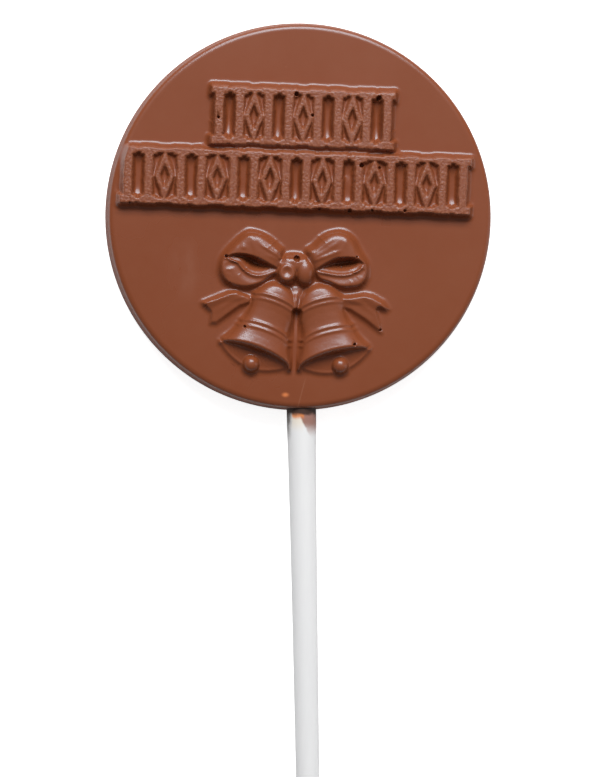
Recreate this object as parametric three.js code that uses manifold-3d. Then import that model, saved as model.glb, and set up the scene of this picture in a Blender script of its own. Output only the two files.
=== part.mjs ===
import * as THREE from "three";
import { mergeVertices } from "three/addons/utils/BufferGeometryUtils.js";
import Module from "manifold-3d";

// A moulded chocolate lollipop lying on its flat back, its decorated face up.
// Millimetres. The origin is the middle of the back, +Z goes up through the face,
// and the stick leaves the disc towards -Y.

// Disc: the wall leans in towards the face, as it does to come out of a mould
const BACK_RADIUS = 32.85;
const FACE_RADIUS = 32;
const DISC_HEIGHT = 6.5;
const FACE_ROUND = 0.75;
const BACK_ROUND = 0.2;
const DISC_SIDES = 112;

// Relief: flat-topped strokes with leaning walls, cut off by the rim of the face
const RELIEF = 1.8;
const WALL_RUN = 0.62;
const SUNK = 0.6;
const RIM_RADIUS = 31.75;

// Frieze: two rows of paired posts between a top rail and a bottom rail, a lozenge between pairs
const POST_WIDTH = 1.3;
const WINDOW_WIDTH = 2.1;
const PAIR_WIDTH = 2 * POST_WIDTH + WINDOW_WIDTH;
const SLAB_OVERHANG = 0.6;
const SLAB_HEIGHT = 1;
const SLAB_PROUD = 0.16;
const RAIL_HEIGHT = 0.65;
const LOZENGE_HALF = 1.65;
const LOZENGE_EYE = 0.85;
const LOZENGE_DIP = 0.04;
const UPPER_ROW = { left: -15.5, right: 15, foot: 11.85, head: 20.95, pairs: 4 };
const LOWER_ROW = { left: -30.3, right: 28.1, foot: 1.5, head: 10.45, pairs: 7 };

// Bow: two puffed loops, each a radius every 45 degrees round its middle
const LOOP_RADII = [5.7, 5.45, 5.3, 4.45, 5.15, 6.05, 5.2, 5.0];
const LOOP_CREST = 2.25;
const LOOP_SIDE = 0.75;
const LEFT_LOOP = { x: -8.3, y: -7.4, side: 1 };
const RIGHT_LOOP = { x: 6.6, y: -7.0, side: -1 };
const MOUTH_LENGTH = 7.4;
const MOUTH_UP = 1.15;
const MOUTH_DOWN = 0.65;
const MOUTH_FLOOR = 0.45;
const HOLE_RADIUS = 0.48;
const HOLE_FLOOR = 0.4;
const TAIL_HEIGHT = 1.35;
const TAIL_RUN = 0.45;
const LEFT_TAIL = {
  root: [-8.6, -14.0], rootWide: 1.9, upper: [-16.0, -14.8], notch: [-14.6, -16.4], lower: [-14.4, -18.2],
};
const RIGHT_TAIL = {
  root: [8.1, -13.8], rootWide: 2.0, upper: [15.3, -14.7], notch: [13.3, -15.1], lower: [14.3, -19.1],
};

// Bells: half width and height over the face at each distance above the lip
const BELL_STATIONS = [
  { up: 12.45, half: 0.5, crest: 0.75 },
  { up: 12.1, half: 1.45, crest: 1.15 },
  { up: 11.2, half: 2.7, crest: 1.6 },
  { up: 10.1, half: 3.5, crest: 1.85 },
  { up: 9.35, half: 3.8, crest: 1.95 },
  { up: 9.15, half: 4.15, crest: 2.2 },
  { up: 8.35, half: 4.2, crest: 2.2 },
  { up: 8.15, half: 3.85, crest: 1.9 },
  { up: 6.9, half: 3.72, crest: 1.85 },
  { up: 5.4, half: 3.95, crest: 1.95 },
  { up: 4.4, half: 4.25, crest: 2.05 },
  { up: 4.2, half: 4.6, crest: 2.35 },
  { up: 3.3, half: 4.85, crest: 2.4 },
  { up: 3.1, half: 4.65, crest: 2.15 },
  { up: 1.9, half: 5.2, crest: 2.35 },
  { up: 0.8, half: 5.8, crest: 2.65 },
  { up: 0.1, half: 6.2, crest: 2.75 },
  { up: -0.35, half: 6.25, crest: 2.55 },
];
const BELL_SIDE = 0.5;
const BELL_BULGE = 0.27;
const BELL_COLUMNS = 16;
const LEFT_BELL = { x: -7.0, y: -23.3, tilt: -18, clapper: [-7.5, -24.85] };
const RIGHT_BELL = { x: 6.5, y: -23.5, tilt: 15.5, clapper: [7.45, -24.65] };
const LIP_RIDGE = 0.42;
const LIP_SHIFT = -0.6;
const CLAPPER_RADIUS = 1.45;

// Stick: a tapered rod sitting in a pocket of the disc
const STICK_SKEW = 3;
const STICK_OFFSET = -0.3;
const STICK_LEVEL = 3.25;
const STICK_TOP = 9.5;
const STICK_MOUTH = 32.8;
const STICK_END = 122;
const STICK_MOUTH_RADIUS = 2.5;
const STICK_END_RADIUS = 1.95;
const STICK_TAPER = 45;
const STICK_ROUND = 0.35;
const POCKET_GAP = 0.3;
const STICK_SIDES = 40;

const CHOCOLATE_COLOUR = 0x7a4630;
const STICK_COLOUR = 0xf2f2f0;

const wasm = await Module();
wasm.setup();

function solid(geometry) {
  const bare = geometry.index ? geometry.toNonIndexed() : geometry.clone();
  bare.deleteAttribute("normal");
  bare.deleteAttribute("uv");
  const merged = mergeVertices(bare, 1e-4);
  return new wasm.Manifold(
    new wasm.Mesh({
      numProp: 3,
      vertProperties: merged.attributes.position.array,
      triVerts: new Uint32Array(merged.index.array),
    }),
  );
}

function geometryOf(manifold) {
  const mesh = manifold.getMesh();
  const geometry = new THREE.BufferGeometry();
  geometry.setAttribute("position", new THREE.BufferAttribute(mesh.vertProperties.slice(), 3));
  geometry.setIndex(new THREE.BufferAttribute(mesh.triVerts.slice(), 1));
  const flat = geometry.toNonIndexed();
  flat.computeVertexNormals();
  return flat;
}

function fromPoints(points, triangles) {
  const geometry = new THREE.BufferGeometry();
  geometry.setAttribute("position", new THREE.Float32BufferAttribute(points.flat(), 3));
  geometry.setIndex(triangles);
  return solid(geometry);
}

// A flat-topped stroke: its top has the given outline, its foot is wider by the run
function raised(corners, height, run = WALL_RUN) {
  const shape = new THREE.Shape(corners.map(([x, y]) => new THREE.Vector2(x, y)));
  const geometry = new THREE.ExtrudeGeometry(shape, {
    depth: SUNK,
    bevelEnabled: true,
    bevelThickness: height,
    bevelSize: run,
    bevelSegments: 1,
    steps: 1,
  });
  geometry.translate(0, 0, DISC_HEIGHT - SUNK);
  return solid(geometry);
}

function slab(left, right, bottom, top, height = RELIEF, run = WALL_RUN) {
  return raised([[left, bottom], [right, bottom], [right, top], [left, top]], height, run);
}

// The solid between a grid of points over the face and the level below them
function patch(rows) {
  const across = rows[0].length;
  const floor = DISC_HEIGHT - SUNK;
  const points = [];
  for (const row of rows) points.push(...row);
  for (const row of rows) points.push(...row.map(([x, y]) => [x, y, floor]));
  const under = rows.length * across;
  const triangles = [];
  const quad = (a, b, c, d) => triangles.push(a, b, c, a, c, d);
  for (let i = 0; i + 1 < rows.length; i++) {
    for (let j = 0; j + 1 < across; j++) {
      const a = i * across + j;
      quad(a, a + across, a + across + 1, a + 1);
      quad(under + a, under + a + 1, under + a + across + 1, under + a + across);
    }
    const left = i * across;
    const right = left + across - 1;
    quad(left, under + left, under + left + across, left + across);
    quad(right, right + across, under + right + across, under + right);
  }
  const last = (rows.length - 1) * across;
  for (let j = 0; j + 1 < across; j++) {
    quad(j, j + 1, under + j + 1, under + j);
    quad(last + j, under + last + j, under + last + j + 1, last + j + 1);
  }
  const made = fromPoints(points, triangles);
  return made.volume() > 0 ? made : flipped(points, triangles);
}

function flipped(points, triangles) {
  const turned = [];
  for (let i = 0; i < triangles.length; i += 3) {
    turned.push(triangles[i], triangles[i + 2], triangles[i + 1]);
  }
  return fromPoints(points, turned);
}

// A puffed form over a closed outline, rounded up towards the line between two hearts
function pillow(outline, heartA, heartB, side, crest) {
  const levels = [[-SUNK, -0.1], [0, -0.05], [side, 0.02]];
  for (let k = 1; k <= 5; k++) {
    const turn = (k / 6) * (Math.PI / 2);
    levels.push([side + (crest - side) * Math.sin(turn), 1 - Math.cos(turn)]);
  }
  const along = [heartB[0] - heartA[0], heartB[1] - heartA[1]];
  const long = along[0] ** 2 + along[1] ** 2;
  const hearts = outline.map(([x, y]) => {
    const t = ((x - heartA[0]) * along[0] + (y - heartA[1]) * along[1]) / long;
    const held = Math.min(1, Math.max(0, t));
    return [heartA[0] + along[0] * held, heartA[1] + along[1] * held];
  });
  const count = outline.length;
  const points = [];
  for (const [rise, inward] of levels) {
    outline.forEach(([x, y], j) => {
      const [hx, hy] = hearts[j];
      points.push([x + (hx - x) * inward, y + (hy - y) * inward, DISC_HEIGHT + rise]);
    });
  }
  const middle = [(heartA[0] + heartB[0]) / 2, (heartA[1] + heartB[1]) / 2];
  points.push([...middle, DISC_HEIGHT - SUNK], [...middle, DISC_HEIGHT + crest]);
  const triangles = [];
  const last = (levels.length - 1) * count;
  for (let j = 0; j < count; j++) {
    const next = (j + 1) % count;
    for (let i = 0; i + 1 < levels.length; i++) {
      const a = i * count;
      triangles.push(a + j, a + next, a + count + next, a + j, a + count + next, a + count + j);
    }
    triangles.push(points.length - 2, next, j, points.length - 1, last + j, last + next);
  }
  return fromPoints(points, triangles);
}

function ellipse(x, y, rx, ry, count = 28) {
  const outline = [];
  for (let i = 0; i < count; i++) {
    const turn = (i / count) * 2 * Math.PI;
    outline.push([x + rx * Math.cos(turn), y + ry * Math.sin(turn)]);
  }
  return outline;
}

// A closed outline from radii set at even angles, eased from one to the next
function outlineFromRadii(radii, x, y, side, count = 48) {
  const outline = [];
  for (let i = 0; i < count; i++) {
    const at = (i / count) * radii.length;
    const k = Math.floor(at);
    const t = at - k;
    const r = (n) => radii[(n + radii.length) % radii.length];
    const ease = 0.5 * (2 * r(k) + (r(k + 1) - r(k - 1)) * t
      + (2 * r(k - 1) - 5 * r(k) + 4 * r(k + 1) - r(k + 2)) * t * t
      + (3 * r(k) - r(k - 1) - 3 * r(k + 1) + r(k + 2)) * t * t * t);
    const turn = (i / count) * 2 * Math.PI;
    outline.push([x + side * ease * Math.cos(turn), y + ease * Math.sin(turn)]);
  }
  return side > 0 ? outline : outline.reverse();
}

function discBody() {
  const profile = [
    [0, 0],
    [BACK_RADIUS - BACK_ROUND, 0],
    [BACK_RADIUS, BACK_ROUND],
  ];
  const lean = (BACK_RADIUS - FACE_RADIUS) / DISC_HEIGHT;
  for (let k = 0; k <= 4; k++) {
    const turn = (k / 4) * (Math.PI / 2);
    const z = DISC_HEIGHT - FACE_ROUND * (1 - Math.sin(turn));
    profile.push([FACE_RADIUS + lean * FACE_ROUND - FACE_ROUND * (1 - Math.cos(turn)), z]);
  }
  profile.push([0, DISC_HEIGHT]);
  const points = profile.map(([r, z]) => new THREE.Vector2(r, z));
  const geometry = new THREE.LatheGeometry(points, DISC_SIDES);
  geometry.rotateX(Math.PI / 2);
  return solid(geometry);
}

// One row of the frieze: posts in pairs, each with a slab at head and foot, and a pierced
// lozenge between one pair and the next
function row({ left, right, foot, head, pairs }) {
  const pieces = [];
  const first = left + SLAB_OVERHANG;
  const pitch = (right - SLAB_OVERHANG - first - PAIR_WIDTH) / (pairs - 1);
  pieces.push(slab(left, right, foot, foot + RAIL_HEIGHT));
  pieces.push(slab(left, right, head - RAIL_HEIGHT, head));
  for (let i = 0; i < 2 * pairs; i++) {
    const near = first + Math.floor(i / 2) * pitch + (i % 2) * (POST_WIDTH + WINDOW_WIDTH);
    const far = near + POST_WIDTH;
    pieces.push(slab(near, far, foot + RAIL_HEIGHT / 4, head - RAIL_HEIGHT / 4));
    const wide = [near - SLAB_OVERHANG, far + SLAB_OVERHANG];
    pieces.push(slab(...wide, foot - SLAB_PROUD, foot + SLAB_HEIGHT));
    pieces.push(slab(...wide, head - SLAB_HEIGHT, head + SLAB_PROUD));
  }
  const middle = (foot + head) / 2;
  const reach = (head - foot) / 2 - RAIL_HEIGHT * 0.4;
  for (let i = 0; i + 1 < pairs; i++) {
    const x = first + (i + 0.5) * pitch + PAIR_WIDTH / 2;
    const lozenge = raised(
      [[x - LOZENGE_HALF, middle], [x, middle - reach], [x + LOZENGE_HALF, middle], [x, middle + reach]],
      RELIEF - LOZENGE_DIP,
    );
    const pit = new THREE.ConeGeometry(1, 1, 4);
    pit.rotateX(-Math.PI / 2);
    pit.scale(LOZENGE_EYE, LOZENGE_EYE * 3.2, RELIEF);
    pit.translate(x, middle, DISC_HEIGHT + RELIEF * 0.62);
    pieces.push(lozenge.subtract(solid(pit)));
  }
  return wasm.Manifold.union(pieces);
}

function bell({ x, y, tilt, clapper }) {
  const turn = (tilt * Math.PI) / 180;
  const place = (up, across, z) => [
    x + across * Math.cos(turn) - up * Math.sin(turn),
    y + across * Math.sin(turn) + up * Math.cos(turn),
    z,
  ];
  const rows = BELL_STATIONS.map(({ up, half, crest }) => {
    const line = [place(up, -half - 0.35, DISC_HEIGHT - SUNK / 2)];
    for (let j = 0; j <= BELL_COLUMNS; j++) {
      const angle = Math.PI * (1 - j / BELL_COLUMNS);
      const bulge = BELL_BULGE * half * Math.sin(angle);
      const rise = BELL_SIDE + (crest - BELL_SIDE) * Math.sin(angle);
      line.push(place(up + bulge, half * Math.cos(angle), DISC_HEIGHT + rise));
    }
    line.push(place(up, half + 0.35, DISC_HEIGHT - SUNK / 2));
    return line;
  });
  // The far side of the lip: a low ridge round the open mouth
  const lip = BELL_STATIONS[BELL_STATIONS.length - 1];
  const ridge = [];
  for (let j = 0; j <= 24; j++) {
    const angle = Math.PI * (j / 24);
    const section = [[0.5, -SUNK / 2], [0.3, 0.1], [0.12, LIP_RIDGE], [-0.2, LIP_RIDGE], [-0.55, -0.1]];
    ridge.push(section.map(([out, rise]) => {
      const reach = lip.half - 0.25 + out;
      const drop = LIP_SHIFT - BELL_BULGE * 1.15 * reach * Math.sin(angle);
      return place(drop + lip.up + 0.5, reach * Math.cos(angle), DISC_HEIGHT + rise);
    }));
  }
  const ball = new THREE.SphereGeometry(CLAPPER_RADIUS, 24, 14);
  ball.translate(...clapper, DISC_HEIGHT + 0.35);
  return wasm.Manifold.union([patch(rows), patch(ridge), solid(ball)]);
}

function loop({ x, y, side }) {
  const outline = outlineFromRadii(LOOP_RADII, x, y, side);
  const body = pillow(outline, [x - 2 * side, y + 1.2], [x + 1.5 * side, y - 0.4], LOOP_SIDE, LOOP_CREST);
  // The open end: a lens-shaped hollow that looks down the loop
  const lens = [];
  const lean = -0.28 * side;
  for (let i = 0; i < 20; i++) {
    const turn = (i / 20) * 2 * Math.PI;
    const along = (MOUTH_LENGTH / 2) * Math.cos(turn);
    const rise = (turn < Math.PI ? MOUTH_UP : MOUTH_DOWN) * Math.sin(turn);
    lens.push([x + 0.45 * side + along, y - 0.55 + lean * along + rise]);
  }
  const hollow = new THREE.ExtrudeGeometry(
    new THREE.Shape(lens.map(([px, py]) => new THREE.Vector2(px, py))),
    { depth: LOOP_CREST + 1, bevelEnabled: false },
  );
  hollow.translate(0, 0, DISC_HEIGHT + MOUTH_FLOOR);
  return body.subtract(solid(hollow));
}

// The knot: a wrap between the loops, with a bubble hole in it, and two knobs below it
function knot() {
  const left = pillow(ellipse(-1.9, -9.65, 1.35, 1.75), [-1.95, -9.4], [-1.85, -9.9], 0.8, 2.4);
  const right = pillow(ellipse(1.05, -9.7, 1.6, 1.75), [1.0, -9.4], [1.1, -10.0], 0.8, 2.3);
  const wrap = pillow(ellipse(-0.75, -7.6, 3.0, 1.75), [-2.0, -7.6], [0.5, -7.6], 0.7, 1.9);
  const hole = new THREE.CylinderGeometry(HOLE_RADIUS, HOLE_RADIUS * 0.6, 2, 12);
  hole.rotateX(Math.PI / 2);
  hole.translate(-0.5, -6.95, DISC_HEIGHT + 1 + HOLE_FLOOR);
  return wasm.Manifold.union([left, right, wrap]).subtract(solid(hole));
}

// A ribbon end: a flat-topped strip with a notch cut into its far end
function tail({ root, rootWide, upper, notch, lower }) {
  const [x, y] = root;
  const corners = [
    [x, y + rootWide / 2],
    [x, y - rootWide / 2],
    lower,
    notch,
    upper,
  ];
  return raised(corners, TAIL_HEIGHT, TAIL_RUN);
}

function stickRadius(down) {
  const out = Math.max(0, down - STICK_MOUTH);
  const span = 1 - Math.exp(-(STICK_END - STICK_MOUTH) / STICK_TAPER);
  const share = (1 - Math.exp(-out / STICK_TAPER)) / span;
  return STICK_MOUTH_RADIUS + (STICK_END_RADIUS - STICK_MOUTH_RADIUS) * share;
}

// A rod along the skewed axis from one distance below the middle of the disc to another
function rod(profile, sides) {
  const geometry = new THREE.LatheGeometry(
    profile.map(([r, down]) => new THREE.Vector2(r, -down)),
    sides,
  );
  geometry.rotateZ((STICK_SKEW * Math.PI) / 180);
  geometry.translate(STICK_OFFSET, 0, STICK_LEVEL);
  return solid(geometry);
}

function stickBody() {
  const profile = [
    [0, STICK_END],
    [STICK_END_RADIUS - STICK_ROUND, STICK_END],
    [STICK_END_RADIUS - STICK_ROUND * 0.3, STICK_END - STICK_ROUND * 0.3],
  ];
  const steps = 12;
  for (let k = 0; k <= steps; k++) {
    const down = STICK_END - STICK_ROUND + (STICK_MOUTH - STICK_END + STICK_ROUND) * (k / steps);
    profile.push([stickRadius(down), down]);
  }
  profile.push([STICK_MOUTH_RADIUS, STICK_TOP], [0, STICK_TOP]);
  return rod(profile, STICK_SIDES);
}

function pocket() {
  const wide = STICK_MOUTH_RADIUS + POCKET_GAP;
  const top = STICK_TOP - POCKET_GAP;
  return rod([[0, 40], [wide, 40], [wide, top], [0, top]], STICK_SIDES);
}

// Everything raised on the face, kept inside the rim
function relief() {
  const rim = new THREE.CylinderGeometry(RIM_RADIUS - 0.15, RIM_RADIUS + 0.05, 6, DISC_SIDES);
  rim.rotateX(Math.PI / 2);
  rim.translate(0, 0, DISC_HEIGHT + 2);
  const parts = [
    row(UPPER_ROW),
    row(LOWER_ROW),
    bell(LEFT_BELL),
    bell(RIGHT_BELL),
    loop(LEFT_LOOP),
    loop(RIGHT_LOOP),
    knot(),
    tail(LEFT_TAIL),
    tail(RIGHT_TAIL),
  ];
  return wasm.Manifold.union(parts).intersect(solid(rim));
}

function named(name, manifold, colour) {
  const material = new THREE.MeshStandardMaterial({ color: colour });
  material.name = name;
  const mesh = new THREE.Mesh(geometryOf(manifold), material);
  mesh.name = name;
  return mesh;
}

const chocolate = discBody().add(relief()).subtract(pocket());

const group = new THREE.Group();
group.add(named("chocolate", chocolate, CHOCOLATE_COLOUR));
group.add(named("stick", stickBody(), STICK_COLOUR));

export default group;
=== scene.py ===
# %% [markdown]
# # A moulded chocolate lollipop
# The real thing is milk chocolate poured into an open mould round a white paper stick.
# The mould gives the face its frieze, bow and bells, and leaves the back flat.
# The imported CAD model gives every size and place, so it is loaded first and never moved.

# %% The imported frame
import math

import bpy
import numpy as np
from mathutils import Matrix, Vector


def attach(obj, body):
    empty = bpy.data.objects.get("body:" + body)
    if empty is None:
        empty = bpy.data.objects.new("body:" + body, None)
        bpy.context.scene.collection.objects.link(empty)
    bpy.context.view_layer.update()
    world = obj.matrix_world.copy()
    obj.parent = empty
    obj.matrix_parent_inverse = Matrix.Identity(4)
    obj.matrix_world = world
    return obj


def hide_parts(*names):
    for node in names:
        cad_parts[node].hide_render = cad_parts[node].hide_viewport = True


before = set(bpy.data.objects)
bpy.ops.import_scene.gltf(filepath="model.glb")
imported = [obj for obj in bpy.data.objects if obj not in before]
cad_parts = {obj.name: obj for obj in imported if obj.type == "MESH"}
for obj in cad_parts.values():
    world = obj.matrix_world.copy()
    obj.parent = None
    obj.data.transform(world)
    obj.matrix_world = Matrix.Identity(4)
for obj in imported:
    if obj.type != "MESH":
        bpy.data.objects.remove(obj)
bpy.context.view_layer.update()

MM = 0.001


def shown(name, data):
    """A new object that is part of the scene."""
    thing = bpy.data.objects.new(name, data)
    bpy.context.scene.collection.objects.link(thing)
    return thing


# %% [markdown]
# ## Named sizes
# These repeat the sizes of the CAD part, in millimetres. The disc lies on its back, its face looks
# up, and the stick leaves it towards -Y. A mould leans its walls so that the chocolate drops out,
# which is why the disc is wider at its back than at its face.

# %% Sizes of the disc, the relief and the stick
BACK_RADIUS = 32.85
FACE_RADIUS = 32.0
FACE_LEVEL = 6.5
FACE_ROUND = 0.75
FACE_ROUND_WIDE = 1.1
RELIEF = 1.8
RIM_RADIUS = 31.75
STICK_SKEW = math.radians(3)
STICK_OFFSET = -0.3
STICK_LEVEL = 3.25
STICK_TOP = 9.5
STICK_MOUTH = 32.8
STICK_END = 122.0
STICK_MOUTH_RADIUS = 2.5
STICK_END_RADIUS = 1.95
STICK_TAPER = 45.0
STICK_ROUND = 0.35
print("disc", 2 * BACK_RADIUS, "mm wide and", FACE_LEVEL, "mm thick")

# %% [markdown]
# ## Camera
# The photograph looks almost straight down, from a little to the left and above the disc's middle.
# Three things pin the camera: how far it stands away, how it leans, and which point of the face is
# in the middle of the frame. The small roll is there because the lollipop lies two degrees turned.

# %% Camera
ROLL = math.radians(2.0)
LEAN_LEFT = math.radians(3.1)
LEAN_UP = math.radians(3.05)
DISTANCE = 400.0
FRAME_PIXELS = 777
PIXELS_PER_MM = 5.95
SENSOR = 36.0
AIM = Vector((0.87, -28.76, FACE_LEVEL))
across = Vector((math.cos(ROLL), math.sin(ROLL), 0))
along = Vector((-math.sin(ROLL), math.cos(ROLL), 0))
backward = Vector((0, 0, 1)) - across * math.tan(LEAN_LEFT) + along * math.tan(LEAN_UP)
backward.normalize()
sideways = along.cross(backward).normalized()
upward = backward.cross(sideways)
lens = bpy.data.cameras.new("camera")
lens.lens = SENSOR * DISTANCE / (FRAME_PIXELS / PIXELS_PER_MM)
lens.sensor_width = SENSOR
lens.clip_start = 0.01
camera = shown("camera", lens)
axes = Matrix((sideways, upward, backward)).transposed()
camera.matrix_world = Matrix.Translation((AIM + backward * DISTANCE) * MM) @ axes.to_4x4()
bpy.context.scene.camera = camera
print("focal length", round(lens.lens, 1), "mm")

# %% [markdown]
# ## Light
# Chocolate shows its shape through highlights, so the lights are placed for them. One bright soft
# box stands behind the top of the disc and draws a light line along every slope that faces it.
# A large dim box overhead is mirrored as a faint veil in all that lies flat, so that the walls look
# darker and redder than the face, and a dim world keeps the dark sides brown.

# %% Soft boxes and world
def soft_box(name, place, target, size, power):
    light = bpy.data.lights.new(name, "AREA")
    light.shape = "RECTANGLE"
    light.size, light.size_y = size[0] * MM, size[1] * MM
    light.energy = power
    toward = Vector(target) - Vector(place)
    turn = toward.to_track_quat("-Z", "Y").to_matrix().to_4x4()
    shown(name, light).matrix_world = Matrix.Translation(Vector(place) * MM) @ turn


# Name, place, the point it looks at, width and height in mm, and power in watts
for box in (
    ("key_box", (0, 815, 850), (0, -15, 0), (900, 490), 17.9),
    ("overhead_box", (0, 640, 1000), (0, 639, 0), (2000, 1400), 2.2),
    ("right_box", (1100, -60, 420), (0, -20, 0), (400, 700), 0.8),
):
    soft_box(*box)
WORLD_COLOUR = (0.95, 0.97, 1.0, 1)
WORLD_STRENGTH = 0.13
world = bpy.data.worlds.new("studio")
world.use_nodes = True
backdrop = world.node_tree.nodes["Background"].inputs
backdrop["Color"].default_value = WORLD_COLOUR
backdrop["Strength"].default_value = WORLD_STRENGTH
bpy.context.scene.world = world
bpy.context.scene.view_settings.view_transform = "Standard"

# %% [markdown]
# ## Small helpers for node trees
# A node tree is long to write out by hand. These helpers add a node, set its values and make its
# links in one call, so that each later cell reads like a list of steps.

# %% Node helpers
def add(tree, kind, inputs=None, **settings):
    made = tree.nodes.new(kind)
    for name, value in settings.items():
        setattr(made, name, value)
    for name, value in (inputs or {}).items():
        if isinstance(value, bpy.types.NodeSocket):
            tree.links.new(value, made.inputs[name])
        else:
            made.inputs[name].default_value = value
    return made


def maths(tree, operation, *values, clamp=False):
    made = add(tree, "ShaderNodeMath", dict(enumerate(values)), operation=operation, use_clamp=clamp)
    return made.outputs[0]


def plus(tree, first, *others):
    for other in others:
        first = maths(tree, "ADD", first, other)
    return first


def less(tree, first, second):
    return maths(tree, "SUBTRACT", first, second)


def product(tree, first, *others):
    for other in others:
        first = maths(tree, "MULTIPLY", first, other)
    return first


def named(values):
    """Socket names start with a capital, keyword arguments don't."""
    return {name.capitalize(): value for name, value in values.items()}


def vector(tree, operation, *values, **more):
    inputs = dict(enumerate(values)) | named(more)
    return add(tree, "ShaderNodeVectorMath", inputs, operation=operation).outputs[0]


def ramp(tree, value, low, high, kind="LINEAR"):
    """0 up to the low value, 1 from the high one on, or the other way round if low is higher."""
    inputs = {"Value": value, "From Min": low, "From Max": high}
    return add(tree, "ShaderNodeMapRange", inputs, interpolation_type=kind).outputs[0]


def new_tree(name, kind, inputs, output):
    tree = bpy.data.node_groups.new(name, kind)
    sockets = [("INPUT", *socket) for socket in inputs] + [("OUTPUT", *output)]
    for direction, label, socket, *default in sockets:
        made = tree.interface.new_socket(label, in_out=direction, socket_type="NodeSocket" + socket)
        if default:
            made.default_value = default[0]
    return tree, tree.nodes.new("NodeGroupInput").outputs, tree.nodes.new("NodeGroupOutput").inputs


def finished(tree, geometry, material, result):
    """End a tree: make instances real, set the material and hand the geometry out."""
    real = add(tree, "GeometryNodeRealizeInstances", {"Geometry": geometry}).outputs[0]
    dressed = add(tree, "GeometryNodeSetMaterial", {"Geometry": real, "Material": material})
    tree.links.new(dressed.outputs[0], result[0])
    return tree


def run_tree(thing, tree, values):
    modifier = thing.modifiers.new(tree.name, "NODES")
    modifier.node_group = tree
    for socket in tree.interface.items_tree:
        if socket.in_out == "INPUT" and socket.name in values:
            modifier[socket.identifier] = values[socket.name]


def baked(thing):
    """Put the result of an object's modifiers into its mesh and take the modifiers off."""
    name = thing.data.name
    state = bpy.context.evaluated_depsgraph_get()
    result = bpy.data.meshes.new_from_object(thing.evaluated_get(state))
    thing.modifiers.clear()
    thing.data = result
    result.name = name


print("helpers ready")

# %% [markdown]
# ## The frieze
# Two rows of paired posts stand between a top rail and a bottom rail, with a pierced lozenge from
# one pair to the next. Everything in a row repeats at one pitch, so a Geometry Nodes tree lays it
# out: lines of points carry instances of flat shapes. Only the flat tops of the strokes are made
# here. The next steps let the chocolate slope down from them.

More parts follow.
